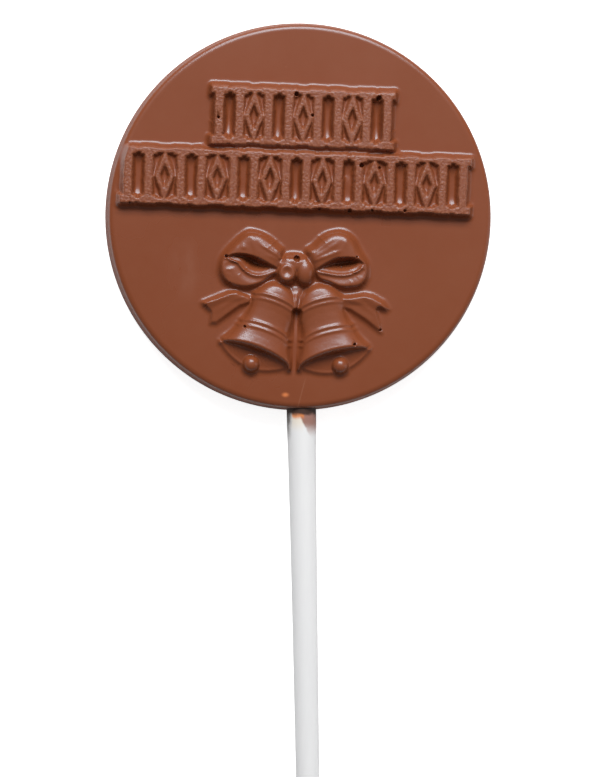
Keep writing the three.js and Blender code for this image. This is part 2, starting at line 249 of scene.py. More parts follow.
# %% Frieze tree
def frieze_tree():
    lengths = ("Left", "Right", "Foot", "Head", "Post Width", "Window Width", "Slab Overhang")
    lengths += ("Slab Height", "Slab Proud", "Rail Height", "Lozenge Half", "Lozenge Eye", "Unevenness")
    inputs = [("Geometry", "Geometry"), ("Pairs", "Int", 4), ("Seed", "Int", 3)]
    inputs += [("Material", "Material")] + [(length, "Float") for length in lengths]
    tree, given, result = new_tree("frieze", "GeometryNodeTree", inputs, ("Geometry", "Geometry"))
    left, right, foot, head = (given[n] for n in ("Left", "Right", "Foot", "Head"))
    post, rail, pairs = given["Post Width"], given["Rail Height"], given["Pairs"]
    slab_tall, proud = given["Slab Height"], given["Slab Proud"]
    length = less(tree, right, left)
    tall = less(tree, head, foot)
    middle = product(tree, plus(tree, foot, head), 0.5)
    centre = product(tree, plus(tree, left, right), 0.5)
    lozenges = less(tree, pairs, 1)
    slab_wide = plus(tree, post, product(tree, given["Slab Overhang"], 2.0))
    pair = plus(tree, slab_wide, post, given["Window Width"])
    pitch = maths(tree, "DIVIDE", less(tree, length, pair), lozenges)
    near_post = plus(tree, left, product(tree, slab_wide, 0.5))
    far_post = plus(tree, near_post, post, given["Window Width"])
    step = add(tree, "ShaderNodeCombineXYZ", {"X": pitch}).outputs[0]

    def line(x, y, count):
        start = add(tree, "ShaderNodeCombineXYZ", {"X": x, "Y": y}).outputs[0]
        inputs = {"Count": count, "Start Location": start, "Offset": step}
        return add(tree, "GeometryNodeMeshLine", inputs, mode="OFFSET", count_mode="TOTAL").outputs[0]

    def strip(width, height):
        flat = {"Size X": width, "Size Y": height, "Vertices X": 2, "Vertices Y": 2}
        return add(tree, "GeometryNodeMeshGrid", flat).outputs[0]

    def lay(points, shape):
        bounds = {0: (0.0, 0.0, 0.0), 1: (1.0, 1.0, 0.0), "Seed": given["Seed"]}
        chance = add(tree, "FunctionNodeRandomValue", bounds, data_type="FLOAT_VECTOR").outputs[0]
        centred = vector(tree, "SUBTRACT", chance, (0.5, 0.5, 0.0))
        uneven = vector(tree, "SCALE", centred, scale=given["Unevenness"])
        factor = vector(tree, "ADD", uneven, (1.0, 1.0, 1.0))
        inputs = {"Points": points, "Instance": shape, "Scale": factor}
        return add(tree, "GeometryNodeInstanceOnPoints", inputs).outputs[0]

    def placed(shape, x, y):
        spot = add(tree, "ShaderNodeCombineXYZ", {"X": x, "Y": y}).outputs[0]
        return add(tree, "GeometryNodeTransform", {"Geometry": shape, "Translation": spot}).outputs[0]

    half_rail = product(tree, rail, 0.5)
    rail_strip = strip(length, rail)
    shaft = strip(post, less(tree, tall, half_rail))
    slab = strip(slab_wide, plus(tree, slab_tall, proud))
    inset = product(tree, less(tree, slab_tall, proud), 0.5)
    slab_low = plus(tree, foot, inset)
    slab_high = less(tree, head, inset)
    pieces = [placed(rail_strip, centre, plus(tree, foot, half_rail))]
    pieces.append(placed(rail_strip, centre, less(tree, head, half_rail)))
    for x in (near_post, far_post):
        for y, shape in ((middle, shaft), (slab_low, slab), (slab_high, slab)):
            pieces.append(lay(line(x, y, pairs), shape))
    # A cone without height is a flat ring: four corners of it make the pierced lozenge
    eye = maths(tree, "DIVIDE", given["Lozenge Eye"], given["Lozenge Half"])
    flat_ring = {"Vertices": 4, "Radius Top": eye, "Radius Bottom": 1.0, "Depth": 0.0}
    ring = add(tree, "GeometryNodeMeshCone", flat_ring, fill_type="NONE").outputs["Mesh"]
    reach = less(tree, product(tree, tall, 0.5), product(tree, rail, 0.4))
    across_and_up = {"X": given["Lozenge Half"], "Y": reach, "Z": 1.0}
    stretch = add(tree, "ShaderNodeCombineXYZ", across_and_up).outputs[0]
    lozenge = add(tree, "GeometryNodeTransform", {"Geometry": ring, "Scale": stretch}).outputs[0]
    bay = plus(tree, left, product(tree, plus(tree, pitch, pair), 0.5))
    pieces.append(lay(line(bay, middle, lozenges), lozenge))
    joined = add(tree, "GeometryNodeJoinGeometry")
    for piece in pieces:
        tree.links.new(piece, joined.inputs[0])
    return finished(tree, joined.outputs[0], given["Material"], result)


FRIEZE = frieze_tree()
print("frieze tree has", len(FRIEZE.nodes), "nodes")

# %% [markdown]
# ## Both rows
# The same tree makes both rows, since only the edges and the number of pairs differ. The sizes are
# given in millimetres and handed to the tree in metres. The result is flat and only a pattern: it
# is taken away again once the chocolate has been poured over it.

# %% Lay out both rows
chocolate_finish = bpy.data.materials.new("milk_chocolate")
UNEVENNESS = 0.05
STROKES = {
    "Post Width": 1.3,
    "Window Width": 2.1,
    "Slab Overhang": 0.6,
    "Slab Height": 1.0,
    "Slab Proud": 0.16,
    "Rail Height": 0.65,
    "Lozenge Half": 1.6,
    "Lozenge Eye": 0.85,
}
UPPER_ROW = {"Left": -15.5, "Right": 15.0, "Foot": 11.8, "Head": 20.95}
LOWER_ROW = {"Left": -30.3, "Right": 28.1, "Foot": 1.5, "Head": 10.45}
rows = []
for row_name, edges, pairs in (("upper_row", UPPER_ROW, 4), ("lower_row", LOWER_ROW, 7)):
    row = shown(row_name, bpy.data.meshes.new(row_name))
    sizes = {name: size * MM for name, size in (STROKES | edges).items()}
    values = {"Pairs": pairs, "Unevenness": UNEVENNESS, "Material": chocolate_finish}
    run_tree(row, FRIEZE, sizes | values)
    baked(row)
    rows.append(row)
    print(row_name, "has", len(row.data.polygons), "flat faces")

# %% [markdown]
# ## The blank disc
# A mould has no undercuts, so one height for each spot of the face says everything about the
# relief. That asks for a face of small even cells. A square grid is pressed into a circle, which
# keeps the cells nearly even and puts no pole in the middle. Rings then carry its edge round the
# rounded rim, down the leaning wall and in under the flat back.

# %% Blank disc
CELLS = 640
ROUND_OVERLAP = 0.09
FLAT_RADIUS = FACE_RADIUS + ROUND_OVERLAP - FACE_ROUND_WIDE
ROUND_STEPS, WALL_STEPS = 10, 16
BACK_EDGE = 0.25


def square_to_disc(u, v):
    wide = np.abs(u) > np.abs(v)
    radius = np.where(wide, u, v)
    with np.errstate(divide="ignore", invalid="ignore"):
        turn = np.where(wide, np.pi / 4 * v / u, np.pi / 2 - np.pi / 4 * u / v)
    turn = np.nan_to_num(turn)
    return radius * np.cos(turn), radius * np.sin(turn)


side = np.linspace(-1, 1, CELLS + 1)
grid_u, grid_v = np.meshgrid(side, side, indexing="ij")
face_x, face_y = square_to_disc(grid_u.ravel(), grid_v.ravel())
face = np.column_stack((face_x * FLAT_RADIUS, face_y * FLAT_RADIUS, np.full(face_x.size, FACE_LEVEL)))
index = np.arange(face_x.size).reshape(grid_u.shape)
corners = (index[:-1, :-1], index[1:, :-1], index[1:, 1:], index[:-1, 1:])
quads = np.stack(corners, axis=-1).reshape(-1, 4)
border = np.concatenate((index[:-1, 0], index[-1, :-1], index[:0:-1, -1], index[0, :0:-1]))
turn = np.arctan2(face[border, 1], face[border, 0])
lean = (BACK_RADIUS - FACE_RADIUS) / FACE_LEVEL
profile = []
for k in range(1, ROUND_STEPS + 1):
    a = k / ROUND_STEPS * math.pi / 2
    out, down = FACE_ROUND_WIDE * math.sin(a), FACE_ROUND * (1 - math.cos(a))
    profile.append((FLAT_RADIUS + out, FACE_LEVEL - down))
for k in range(1, WALL_STEPS + 1):
    z = FACE_LEVEL - FACE_ROUND - k / WALL_STEPS * (FACE_LEVEL - FACE_ROUND - BACK_EDGE)
    profile.append((FACE_RADIUS + lean * (FACE_LEVEL - z), z))
profile += [(BACK_RADIUS - 0.02, 0.12), (BACK_RADIUS - 0.12, 0.02), (BACK_RADIUS - 0.3, 0.0)]
profile += [(30.0, 0.0), (20.0, 0.0), (10.0, 0.0)]
across, along = np.cos(turn), np.sin(turn)
rings = [np.column_stack((r * across, r * along, np.full(turn.size, z))) for r, z in profile]
points = np.concatenate((face, *rings, [[0.0, 0.0, 0.0]]))
loops = [border] + [len(face) + k * turn.size + np.arange(turn.size) for k in range(len(rings))]
for outer, inner in zip(loops, loops[1:]):
    band = np.column_stack((outer, inner, np.roll(inner, -1), np.roll(outer, -1)))
    quads = np.concatenate((quads, band))
caps = [(int(a), len(points) - 1, int(b)) for a, b in zip(loops[-1], np.roll(loops[-1], -1))]
print("blank:", len(points), "points,", len(quads), "quads")

# %% [markdown]
# ## Carving by heights
# The bow and the bells are carved by arithmetic. For every point of the face, a few formulas say
# how high the chocolate stands. Two tools are enough: how deep a point lies inside an outline,
# which puffs a flat shape up like a cushion, and how far it lies from a line, which makes a ridge.

# %% Outline helpers
def smooth_line(corners, closed=True, steps=6):
    given = np.array(corners, float)
    if closed:
        before, here, after, beyond = (np.roll(given, k, 0) for k in (1, 0, -1, -2))
    else:
        held = np.vstack((given[:1], given, given[-1:]))
        before, here, after, beyond = held[:-3], held[1:-2], held[2:-1], held[3:]
    t = np.linspace(0, 1, steps, endpoint=False)[:, None, None]
    curve = here + 0.5 * t * (after - before)
    curve = curve + t**2 * (before - 2.5 * here + 2 * after - 0.5 * beyond)
    curve = curve + t**3 * (1.5 * (here - after) + 0.5 * (beyond - before))
    curve = curve.transpose(1, 0, 2).reshape(-1, 2)
    return curve if closed else np.vstack((curve, given[-1:]))


def distance_to(x, y, line):
    best = np.full(x.shape, 1e9)
    for (ax, ay), (bx, by) in zip(line[:-1], line[1:]):
        ex, ey = bx - ax, by - ay
        t = np.clip(((x - ax) * ex + (y - ay) * ey) / (ex * ex + ey * ey + 1e-12), 0, 1)
        best = np.minimum(best, np.hypot(x - ax - t * ex, y - ay - t * ey))
    return best


def depth_in(x, y, outline):
    found = np.zeros(x.shape, bool)
    for (ax, ay), (bx, by) in zip(outline, np.roll(outline, -1, 0)):
        found ^= ((ay > y) != (by > y)) & (x < (bx - ax) * (y - ay) / (by - ay + 1e-12) + ax)
    far = distance_to(x, y, np.vstack((outline, outline[:1])))
    return np.where(found, far, -far)


def ease(low, high, value):
    t = np.clip((value - low) / (high - low), 0, 1)
    return t * t * (3 - 2 * t)


def puff(depth, width, side, crest):
    t = np.clip(depth / width, 0, 1)
    return np.where(depth > 0, side + (crest - side) * np.sqrt(1 - (1 - t) ** 2), 0.0)


print("outline helpers ready")

# %% [markdown]
# ## The bells
# Each bell is half a turned form laid on the face and seen a little from its open end, so its
# rings bulge towards the crown. For a point, the ring that it lies on is found in a few steps, and
# the ring's half width and crest give the height. The mouth is a hollow that falls to a thin far
# rim, with the clapper ball standing in it.

# %% Bell heights
# Each ring: how far up the bell, half width, and height of the crest, all in mm
BELL_STATIONS = np.array([
    (-0.35, 6.25, 2.45), (0.1, 6.2, 2.64), (0.8, 5.8, 2.6), (1.9, 5.2, 2.35), (3.1, 4.65, 2.15),
    (4.4, 4.3, 2.05), (5.4, 3.95, 1.95), (6.9, 3.75, 1.88), (8.2, 3.9, 1.9), (9.3, 3.85, 1.95),
    (10.1, 3.5, 1.85), (11.2, 2.7, 1.6), (12.1, 1.45, 1.15), (12.45, 0.5, 0.75),
])
# Each ridge: how far up the bell, half width and height
BELL_RIDGES = (
    (9.3, 0.26, 0.24), (8.4, 0.2, 0.18), (4.25, 0.22, 0.22), (3.3, 0.24, 0.2), (0.15, 0.3, 0.12)
)
BELL_SIDE = 0.5
BELL_INSET = 0.45
INNER_INSET = -0.35
BELL_BULGE = 0.27
FAR_RIM_REACH = 6.1
FAR_RIM_DROP = 2.4
MOUTH_SLOPE = 3.6
MOUTH_NEAR, MOUTH_FAR = 0.8, 0.35
CLAPPER_RADIUS = 1.4
CLAPPER_LEVEL = 0.4
FAR_RIM_TALL, FAR_RIM_WIDE = 0.12, 0.22
OPEN = 9.0
# Each bell: the middle of its mouth, its tilt, and the place of its clapper
BELLS = (
    (-7.0, -23.3, math.radians(-18), (-7.5, -24.85)),
    (6.5, -23.5, math.radians(15.5), (7.45, -24.65)),
)


def bell_height(x, y, bell):
    """The height of a bell, and how high chocolate may stand in its mouth."""
    bx, by, tilt, clapper = bell
    over = (x - bx) * math.cos(tilt) + (y - by) * math.sin(tilt)
    inner = over * math.copysign(1.0, -bx)
    up = -(x - bx) * math.sin(tilt) + (y - by) * math.cos(tilt)
    ups, halves, crests = BELL_STATIONS.T
    ring = up.copy()
    for _ in range(14):
        half = np.interp(ring, ups, halves)
        ring = 0.5 * (ring + up - BELL_BULGE * np.sqrt(np.maximum(half**2 - over**2, 0)))
    # The two bells nearly touch, so only the sides that face outward are set in
    inset = INNER_INSET + (BELL_INSET - INNER_INSET) * ease(1.5, -1.5, inner)
    half = np.interp(ring, ups, halves) - inset
    crest = np.interp(ring, ups, crests)
    for at, wide, tall in BELL_RIDGES:
        lift = tall * np.exp(-(((ring - at) / wide) ** 2))
        half = half + lift
        crest = crest + lift
    arch = np.sqrt(np.maximum(1 - (over / half) ** 2, 0))
    on_bell = (np.abs(over) < half) & (ring > ups[0]) & (ring < ups[-1] - BELL_INSET)
    body = np.where(on_bell, BELL_SIDE + (crest - BELL_SIDE) * arch, 0.0)
    # The open mouth falls a little from under the near lip to the far rim
    near = ups[0] + BELL_BULGE * np.sqrt(np.maximum(halves[0] ** 2 - over**2, 0))
    far = 0.1 - FAR_RIM_DROP * (1 - (over / FAR_RIM_REACH) ** 2)
    share = (near - up) / np.maximum(near - far, 0.05)
    in_mouth = (np.abs(over) < FAR_RIM_REACH) & (share > 0) & (share < 1)
    floor = MOUTH_NEAR + (MOUTH_FAR - MOUTH_NEAR) * np.clip(share, 0, 1)
    floor = floor + FAR_RIM_TALL * np.exp(-(((up - far) / FAR_RIM_WIDE) ** 2))
    ball = CLAPPER_RADIUS**2 - (x - clapper[0]) ** 2 - (y - clapper[1]) ** 2
    ball = np.where(ball > 0, CLAPPER_LEVEL + np.sqrt(np.maximum(ball, 0)), 0.0)
    solid = np.maximum(np.maximum(body, np.where(in_mouth, floor, 0.0)), ball)
    # Inside the mouth nothing but the clapper may stand higher than a steep wall under the lip
    wall = np.interp(0.0, ups, crests) - MOUTH_SLOPE * (near - up)
    limit = np.where(in_mouth, np.maximum(np.maximum(floor, wall), ball), OPEN)
    return solid, limit


print("bell:", len(BELL_STATIONS), "rings and", len(BELL_RIDGES), "ridges")

# %% [markdown]
# ## The bow
# Each loop is one puffed outline with a mouth cut into it. The upper lobe hangs over the mouth, so
# the mouth starts with a steep wall and a deep floor and rises as a ramp to the ribbon's inner
# edge. Pleats run out from the knot. The knot is a wrap with two knobs under it.

# %% Bow outlines
LEFT_LOOP = smooth_line([
    (-2.3, -5.9), (-3.6, -4.4), (-5.4, -3.05), (-7.35, -2.3), (-9.1, -2.4), (-11.1, -4.0),
    (-13.2, -6.6), (-13.75, -8.9), (-13.2, -10.9), (-11.6, -12.2), (-8.9, -12.7), (-6.4, -12.0),
    (-4.6, -10.7), (-3.0, -9.6),
])
LEFT_LIP = smooth_line([
    (-3.4, -8.75), (-4.4, -8.35), (-6.2, -7.5), (-7.9, -6.75), (-9.9, -6.45), (-11.3, -6.6),
    (-12.3, -7.05),
], closed=False)
LEFT_EDGE = smooth_line([
    (-12.3, -7.05), (-11.3, -7.6), (-10.2, -7.95), (-9.4, -8.9), (-8.1, -9.75), (-6.7, -9.95),
    (-5.2, -9.6), (-3.4, -8.75),
], closed=False)
RIGHT_LOOP = smooth_line([
    (0.6, -5.9), (2.1, -4.2), (3.4, -2.9), (4.7, -2.1), (6.3, -1.75), (8.0, -2.1), (9.3, -3.1),
    (10.3, -4.8), (11.6, -6.8), (12.0, -8.4), (11.75, -10.3), (10.7, -11.6), (8.9, -12.1),
    (6.8, -12.1), (5.0, -11.4), (2.6, -10.2),
])
RIGHT_LIP = smooth_line([
    (2.5, -8.85), (4.4, -7.6), (6.1, -6.75), (7.8, -6.45), (9.5, -6.6), (10.8, -7.35),
], closed=False)
RIGHT_EDGE = smooth_line([
    (10.8, -7.35), (10.2, -8.3), (9.1, -9.0), (7.6, -9.4), (6.0, -9.4), (4.3, -9.15), (2.5, -8.85),
], closed=False)
KNOT_HEART = (-0.5, -8.4)
print("loop outlines:", len(LEFT_LOOP), "and", len(RIGHT_LOOP), "points")

# %% [markdown]
# ## How high the bow stands
# Heights add up well, so small forms are laid over the large ones. Rays are the pleats that run out
# from the knot. Ripples are single soft dents and swellings, put where the photograph shows them.
# The lower half of a loop is held lower than its upper half, and the mouth between them is cut in
# later, after the walls have got their lean, so that its lip stays sharp.

# %% Bow heights
LOOP_CREST = 1.85
LOOP_SWELL = 0.15
LOOP_INSET = 0.6
LOOP_SIDE = 0.7
MOUTH_FLOOR = -0.8
EDGE_HEIGHT = 1.1
LOWER_HEIGHT = 1.35
LIP_SLOPE = 3.6
# Each ripple: place, two half widths, turn in degrees and height
LEFT_RIPPLES = (
    (-9.0, -3.6, 1.1, 0.35, 20, 0.14),
    (-10.9, -5.2, 0.4, 0.5, 0, 0.14),
    (-9.4, -5.4, 0.45, 0.4, 0, 0.12),
    (-7.9, -4.6, 0.35, 1.1, 10, 0.12),
    (-12.3, -8.0, 0.8, 0.35, 15, 0.12),
    (-12.2, -9.9, 0.7, 0.4, -40, 0.1),
)
RIGHT_RIPPLES = (
    (5.6, -4.6, 1.0, 0.35, 35, 0.1),
    (7.6, -4.0, 0.3, 0.9, -15, 0.08),
    (9.0, -4.6, 0.3, 1.3, 0, 0.1),
    (10.2, -6.0, 0.4, 1.0, -20, 0.08),
)
# Each fan of pleats: height, middle, angles in degrees, half width, start and stop
LEFT_FANS = (
    (0.28, KNOT_HEART, (110, 121, 131, 140, 150, 160), 0.26, 2.2, 8.0),
    (0.1, (-9.6, -8.6), (195, 215, 236, 258), 0.25, 1.0, 4.2),
)
RIGHT_FANS = (
    (0.2, KNOT_HEART, (22, 31, 40, 50, 61), 0.28, 2.2, 8.6),
    (0.12, KNOT_HEART, (-9, -19, -28), 0.3, 2.6, 7.0),
    (0.16, (6.6, -7.2), (-14, -25, -36, -47, -58), 0.2, 3.2, 6.4),
)
LOOPS = (
    (LEFT_LOOP, LEFT_LIP, LEFT_EDGE, LEFT_FANS, LEFT_RIPPLES),
    (RIGHT_LOOP, RIGHT_LIP, RIGHT_EDGE, RIGHT_FANS, RIGHT_RIPPLES),
)
# Each knob: middle, two half widths, width of its round, side and crest
WRAP = ((-0.75, -8.0), 2.9, 1.5, 1.2, 0.7, 1.9)
RIGHT_KNOB = ((0.95, -9.2), 1.5, 2.2, 1.4, 0.8, 2.15)
LEFT_KNOB = ((-2.05, -9.4), 1.6, 1.75, 0.8, 0.8, 2.35)
KNOT_HOLLOW = (-2.1, -9.2, 0.95, 0.9, 0, 0.48)
BEADS = (
    (-3.3, -7.0, 0.25, 0.25, 0, 0.3),
    (-2.3, -6.9, 0.3, 0.3, 0, 0.25),
    (-3.2, -8.0, 0.3, 0.3, 0, 0.25),
    (1.0, -6.9, 0.3, 0.35, 0, 0.3),
)


def rays(x, y, heart, angles, spread, start, stop):
    """Soft ridges that run out from a point at the given angles."""
    far = np.hypot(x - heart[0], y - heart[1])
    angle = np.arctan2(y - heart[1], x - heart[0])
    total = np.zeros(x.shape)
    for k, ray in enumerate(angles):
        off = (angle - math.radians(ray) + math.pi) % (2 * math.pi) - math.pi
        reach = stop - 1.3 * (k % 2)
        fade = ease(start, start + 1.2, far) * (1 - ease(reach - 2.5, reach, far))
        total += (1 - 0.35 * (k % 3)) * fade * np.exp(-((off * far / spread) ** 2))
    return total


def ripples(x, y, spots):
    """The height of small soft swellings, all added up."""
    total = np.zeros(x.shape)
    for sx, sy, long, short, turn, tall in spots:
        c, s = math.cos(math.radians(turn)), math.sin(math.radians(turn))
        u, v = (x - sx) * c + (y - sy) * s, (y - sy) * c - (x - sx) * s
        total += tall * np.exp(-((u / long) ** 2) - (v / short) ** 2)
    return total


def loop_height(x, y, outline, lip, edge, pleats):
    """The puffed ribbon, its lower half lower than the upper one."""
    depth = depth_in(x, y, outline) - LOOP_INSET
    body = puff(depth, 1.5, LOOP_SIDE, LOOP_CREST) + LOOP_SWELL * ease(0.3, 3.0, depth)
    to_lip, to_edge = distance_to(x, y, lip), distance_to(x, y, edge)
    near_knot = ease(6.0, 2.5, np.hypot(x - KNOT_HEART[0], y - KNOT_HEART[1]))
    ridge = EDGE_HEIGHT + 0.22 - 0.2 * ease(0.1, 0.6, to_edge)
    lower = ridge + (LOWER_HEIGHT - EDGE_HEIGHT) * ease(0.5, 1.8, to_edge) * (1 - near_knot)
    below = (to_edge < to_lip) & (depth_in(x, y, np.vstack((lip, edge[1:-1]))) < 0)
    body = np.where(below, np.minimum(body, lower), body)
    return body + np.where(depth > 0, pleats, 0.0) * ease(0.0, 0.9, depth)


def mouth_height(x, y, lip, edge):
    """How high chocolate may stand in the loop's open end."""
    inside = depth_in(x, y, np.vstack((lip, edge[1:-1]))) > 0
    to_lip, to_edge = distance_to(x, y, lip), distance_to(x, y, edge)
    slant = EDGE_HEIGHT + 0.1 - 0.42 * to_edge - np.maximum(to_edge - 0.7, 0)
    wall = LOOP_CREST - LIP_SLOPE * to_lip
    return np.where(inside, np.maximum(np.maximum(slant, MOUTH_FLOOR), wall), OPEN)


def knob_height(x, y, centre, wide, tall, round_off, side, crest):
    """An oval cushion."""
    away = np.hypot((x - centre[0]) / wide, (y - centre[1]) / tall)
    return puff((1 - away) * min(wide, tall), round_off, side, crest)


def bow_height(x, y):
    """Both loops with their pleats, and the knot: a wrap with two knobs under it."""
    total = np.zeros(x.shape)
    for outline, lip, edge, fans, dents in LOOPS:
        pleats = sum(tall * rays(x, y, *fan) for tall, *fan in fans) + ripples(x, y, dents)
        total = np.maximum(total, loop_height(x, y, outline, lip, edge, pleats))
    for knob in (WRAP, RIGHT_KNOB):
        total = np.maximum(total, knob_height(x, y, *knob))
    # The left knob is the end of a rolled ribbon, so it is hollow
    left = knob_height(x, y, *LEFT_KNOB) - ripples(x, y, [KNOT_HOLLOW])
    return np.maximum(total, left) + np.where(total > 0, ripples(x, y, BEADS), 0.0)


print("bow heights ready, crest", LOOP_CREST, "mm")

# %% [markdown]
# ## Ribbon ends and the space between the bells
# The ends of the ribbon are flat and thin, so an outline with one fold line does for each. Between
# the bells a narrow web runs down from the knot. Below it they nearly touch, and a dark seam is
# left between them, a little deeper than the face at its upper end.

# %% Ribbon ends, web and seam
LEFT_TAIL = [
    (-7.4, -13.3), (-8.7, -12.8), (-10.2, -12.2), (-11.6, -12.35), (-13.4, -13.15), (-16.5, -14.4),
    (-16.1, -15.3), (-14.9, -16.4), (-15.0, -18.5), (-13.4, -18.5), (-11.2, -16.8), (-9.5, -15.5),
    (-7.6, -14.8),
]
RIGHT_TAIL = [
    (5.6, -12.6), (8.4, -12.5), (11.05, -12.0), (12.75, -12.3), (14.5, -13.2), (15.6, -14.7),
    (15.3, -15.4), (13.7, -15.0), (14.4, -17.2), (14.8, -19.4), (13.5, -18.8), (11.2, -17.1),
    (8.7, -15.6), (6.6, -15.0),
]
# Each ribbon end: outline, fold line and tip
RIBBON_ENDS = (
    (LEFT_TAIL, [(-10.6, -12.8), (-13.6, -13.9), (-16.1, -14.7)], (-14.6, -18.2)),
    (RIGHT_TAIL, [(7.0, -13.2), (11.4, -12.9), (15.0, -14.9)], (14.6, -19.2)),
)
TAIL_HEIGHT = 1.15
TAIL_INSET = 0.45
WEB_X, WEB_HEIGHT = -0.4, 1.35
SEAM_FLOOR = -0.45
SEAM_SLOPE = 3.0
SEAM_HALF = 0.35
SEAM_LINE = np.array([(-0.15, -16.2), (-0.3, -26.8)])
TAIL_FOLDS = (
    (-9.8, -13.9, 1.4, 0.35, 18, 0.25),
    (-12.2, -15.2, 1.6, 0.4, 32, 0.15),
    (9.6, -13.9, 1.6, 0.35, -12, 0.2),
    (11.8, -15.0, 1.8, 0.4, -32, 0.15),
)


def tail_height(x, y, outline, fold, tip):
    """A flat ribbon end that is highest along its fold and lower at its tip."""
    depth = depth_in(x, y + 0.2, np.array(outline)) - TAIL_INSET
    rise = TAIL_HEIGHT * ease(-0.1, 0.25, depth) + np.where(depth > 0, ripples(x, y, TAIL_FOLDS), 0.0)
    crease = distance_to(x, y, np.array(fold))
    sunk = 1 - 0.35 * ease(0.0, 1.6, crease)
    low = 1 - 0.3 * ease(3.5, 0.0, np.hypot(x - tip[0], y - tip[1]))
    return rise * sunk * low


def web_height(x, y):
    """The narrow web that runs down from the knot."""
    half = 0.55 + 0.5 * ease(-14.5, -12.2, y)
    flank = ease(half, 0.2 * half, np.abs(x - WEB_X))
    return WEB_HEIGHT * flank * ease(-11.6, -14.4, y) * ease(-16.2, -15.2, y)


def tails_height(x, y):
    """Both ribbon ends."""
    return np.maximum(*(tail_height(x, y, *ribbon_end) for ribbon_end in RIBBON_ENDS))


def bells_height(x, y):
    """Both bells and the web between them."""
    bells = np.maximum(*(bell_height(x, y, bell)[0] for bell in BELLS))
    return np.maximum(bells, web_height(x, y))


def open_limit(x, y):
    """How high chocolate may stand in the bells' and the loops' mouths, and between the bells."""
    limit = np.minimum(*(bell_height(x, y, bell)[1] for bell in BELLS))
    # The seam where the two bells nearly touch
    off_seam = np.maximum(distance_to(x, y, SEAM_LINE) - SEAM_HALF, 0)
    limit = np.minimum(limit, SEAM_FLOOR * ease(-21.2, -16.8, y) + SEAM_SLOPE * off_seam)
    for _, lip, edge, *_ in LOOPS:
        limit = np.minimum(limit, mouth_height(x, y, lip, edge))
    return limit


print("ribbon ends", TAIL_HEIGHT, "mm high")

# %% [markdown]
# ## Draft and fillets
# A mould has no upright walls: each one leans out, so that the chocolate lets go. The carving gets
# the same lean here. A point may not lie lower than its neighbour less the drop that the steepest
# wall allows, and that is passed on from point to point. The walls are let run on below the face,
# and that part is then bent into a round that meets the face level. It is the round at a wall's
# foot that catches the light as the thin pale line in the photograph. Mouths are cut last, because
# their walls are steeper than the lean.

# %% Draft and carve the face
WALL_SLOPE = 2.3
FOOT_RADIUS = 1.2
CREASE = 0.7
BELOW_ALL = -9.0
NEIGHBOURS = [(i, j) for i in (-1, 0, 1) for j in (-1, 0, 1) if (i, j) != (0, 0)]


def drafted(height, x, y, slope, rounds):
    """Let every wall lean out by the given slope."""
    for _ in range(rounds):
        for step in NEIGHBOURS:
            away = np.hypot(x - np.roll(x, step, (0, 1)), y - np.roll(y, step, (0, 1)))
            height = np.maximum(height, np.roll(height, step, (0, 1)) - slope * away)
    return height


def footed(rise, slope, radius):
    """The height of a wall with the given slope once a round joins it to the face."""
    angle = math.atan(slope)
    reach = radius * math.tan(angle / 2)
    to_face = np.clip(reach + rise / slope, 0, radius)
    return np.where(rise > reach * math.sin(angle), rise, radius - np.sqrt(radius**2 - to_face**2))


def joined(first, second, crease):
    """The higher of two heights, with a hollow round where they are about as high."""
    close = np.maximum(crease - np.abs(first - second), 0) / crease
    return np.maximum(first, second) + crease / 4 * close**2


DRAFT_ROUNDS = 24
CARVED_HALF, CARVED_LOW = 18.5, -29
from_middle = np.hypot(points[:, 0], points[:, 1])
on_face = (from_middle < FACE_RADIUS) & (points[:, 2] > FACE_LEVEL - 0.5)
window = on_face & (np.abs(points[:, 0]) < CARVED_HALF)
window &= (points[:, 1] < 0) & (points[:, 1] > CARVED_LOW)
window = window[: index.size].reshape(index.shape)
flat_x, flat_y = (points[: index.size, k].reshape(index.shape) for k in (0, 1))
forms = []
for height_of in (bow_height, bells_height, tails_height):
    form = np.full(index.shape, BELOW_ALL)
    form[window] = height_of(flat_x[window], flat_y[window])
    form[form < 0.02] = BELOW_ALL
    forms.append(drafted(form, flat_x, flat_y, WALL_SLOPE, DRAFT_ROUNDS))
leaning = joined(joined(forms[0], forms[1], CREASE), forms[2], CREASE)
carving = footed(leaning, WALL_SLOPE, FOOT_RADIUS)
carving[window] = np.minimum(carving[window], open_limit(flat_x[window], flat_y[window]))
carved = np.zeros(len(points))
carved[: index.size] = carving.ravel()
kept = on_face * ease(RIM_RADIUS + 0.05, RIM_RADIUS - 1.1, from_middle)


def measure(mesh, name, values):
    """Store one number for each point of a mesh."""
    stored = mesh.attributes.new(name, "FLOAT", "POINT")
    stored.data.foreach_set("value", np.asarray(values, np.float32))


disc_mesh = bpy.data.meshes.new("chocolate_disc")
disc_mesh.from_pydata((points * MM).tolist(), [], quads.tolist() + caps)
measure(disc_mesh, "carved", carved * MM)
measure(disc_mesh, "kept", kept)
disc = shown("chocolate_disc", disc_mesh)
print("carved", int(window.sum()), "points, highest", round(float(carved.max()), 2), "mm")

# %% [markdown]
# ## Air bubbles
# Small bubbles stay against the mould and leave round holes. A few are placed where the
# photograph shows them on the bow, the bells and the frieze; each is a point with a radius.

